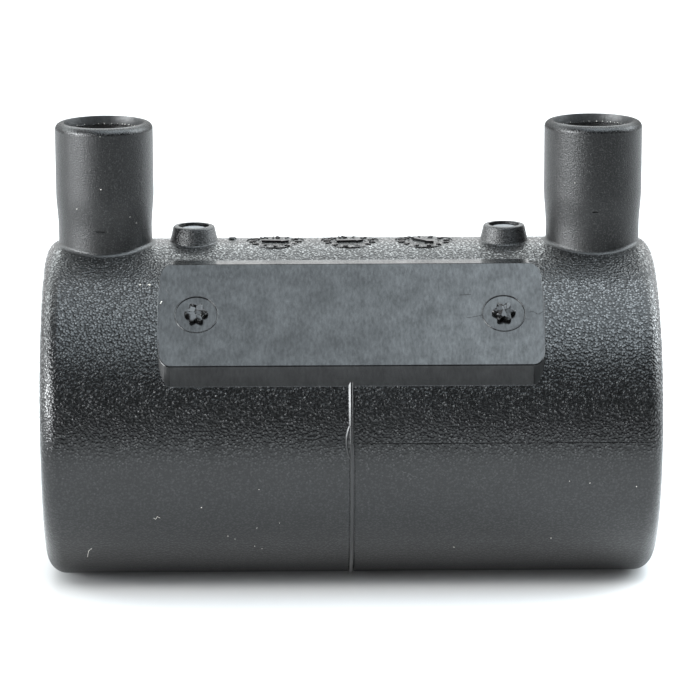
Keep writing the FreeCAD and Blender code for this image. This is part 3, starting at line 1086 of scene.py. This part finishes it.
# floor, lights and surroundings
studio = {
    # the floor's colour is painted: darker with distance from the object, and with a painted shadow under and
    # behind it
    "floor": {
        "size": 9.0, "height": -22.75, "near": 0.72, "far": 0.11, "fade": (4.5, 17.5), "end": 40,
        "behind": (250, 0), "shade": 0.45, "shadeEnd": (46, 34), "shadeBack": 26, "shadeWide": (42, 26)},
    "room": {"front": 0.04, "back": 1.2},
    "lampTint": (0.88, 1.0, 1.08),
    "lamps": [
        {"place": (92, -56, 340), "size": (0.4, 0.288), "glow": 1.0},
        {"place": (92, -121, 343), "size": (0.4, 0.418), "glow": 1.2},
        {"place": (92, -166, 346), "size": (0.4, 0.508), "glow": 1.05},
        {"place": (170, -121, 349), "size": (0.3, 0.418), "glow": 1.6},
        {"place": (-150, -1250, 1150), "aim": (0, 0, -20), "size": (0.9, 0.5), "glow": 13.0,
         "tint": (1.0, 1.0, 1.0), "mirrored": False},
    ],
    "panels": [
        {"turn": 180, "rise": 34, "wide": 90, "tall": 13, "soft": 9, "glow": 2.1, "tint": (0.9, 1.0, 1.02)},
        {"turn": -64, "rise": 6, "wide": 22, "tall": 16, "soft": 6, "glow": 23.0, "tint": (0.97, 1.0, 1.02)},
        {"turn": -108, "rise": 27, "wide": 18, "tall": 13, "soft": 8, "glow": 4.0, "tint": (0.94, 1.0, 1.02)},
        {"turn": 105, "rise": 25, "wide": 25, "tall": 16, "soft": 8, "glow": 7.0, "tint": (0.92, 1.0, 1.05)},
    ],
}


def areaLight(name, look):
    width, height = look["size"]
    lamp = bpy.data.lights.new(name, "AREA")
    lamp.shape = "RECTANGLE"
    lamp.size, lamp.size_y = width, height
    lamp.energy = look["glow"] * math.pi * width * height
    lamp.color = look.get("tint", studio["lampTint"])
    holder = bpy.data.objects.new(name, lamp)
    stage.objects.link(holder)
    aim = Vector(look.get("aim", (*look["place"][:2], 0))) * mm
    holder.matrix_world = facing(Vector(look["place"]) * mm, aim)
    holder.visible_camera = False
    holder.visible_glossy = look.get("mirrored", True)


def surroundings():
    world = bpy.data.worlds.new("studio")
    bpy.context.scene.world = world
    world.use_nodes = True
    world.node_tree.nodes.clear()
    start = Wire(world.node_tree)
    way = start.node("ShaderNodeTexCoord", output="Generated")
    parts = start.node("ShaderNodeSeparateXYZ", inputs={0: way})
    x, y, z = parts, parts.out(1), parts.out(2)
    turn = x.maths("ARCTAN2", x, 0 - y) * (180 / math.pi)
    rise = z.maths("ARCSINE", z) * (180 / math.pi)
    room = studio["room"]
    light = y.step(-0.5, 0.5, room["front"], room["back"]).spread()
    for panel in studio["panels"]:
        aside = abs(turn.maths("WRAP", turn - panel["turn"], 180, -180))
        above = abs(rise - panel["rise"])
        wide, tall, soft = panel["wide"], panel["tall"], panel["soft"]
        mask = aside.step(wide + soft, wide - soft) * above.step(tall + soft, tall - soft)
        glow = start.node("ShaderNodeVectorMath", {"operation": "SCALE"}, {
            0: panel["tint"], 3: mask * panel["glow"]})
        light = start.node("ShaderNodeVectorMath", {"operation": "ADD"}, {0: light, 1: glow})
    sky = start.node("ShaderNodeBackground", inputs={"Color": light})
    start.node("ShaderNodeOutputWorld", inputs={"Surface": sky})
    world.cycles.sampling_method = "MANUAL"
    world.cycles.sample_map_resolution = 512


def floorPiece():
    look = studio["floor"]
    size = look["size"] / 2
    height = look["height"] * mm
    material, start, place = newMaterial("paleFloor")
    parts = start.node("ShaderNodeSeparateXYZ", inputs={0: place})
    x, y = parts, parts.out(1)
    # painted shade: the floor is coloured darker with distance in front of the object and to its sides, in
    # place of light falling off
    beside = (abs(x) - look["end"]).most(0) * y.step(*look["behind"])
    ahead = (0 - y).most(0)
    away = (beside * beside + ahead * ahead) ** 0.5
    level = (away ** 0.5).step(*look["fade"], look["near"], look["far"])
    # painted shadow: the floor is darker under and behind the object
    shade = abs(x).step(*look["shadeEnd"]) * abs(y - look["shadeBack"]).step(*look["shadeWide"])
    level = level * (1 - look["shade"] * shade)
    colour = start.node("ShaderNodeCombineColor", inputs={0: level, 1: level, 2: level})
    closeMaterial(start, {"Base Color": colour, "Roughness": 0.75})
    mesh = bpy.data.meshes.new("floor")
    corners = [(x * size, y * size, height) for x, y in ((-1, -1), (1, -1), (1, 1), (-1, 1))]
    mesh.from_pydata(corners, [], [(0, 1, 2, 3)])
    mesh.materials.append(material)
    asObject("floor", mesh)


surroundings()
for number, lamp in enumerate(studio["lamps"]):
    areaLight("lamp%d" % (number + 1), lamp)
floorPiece()
bpy.context.scene.view_settings.view_transform = "Standard"
print("studio: floor and", len(studio["panels"]), "soft panels of light")
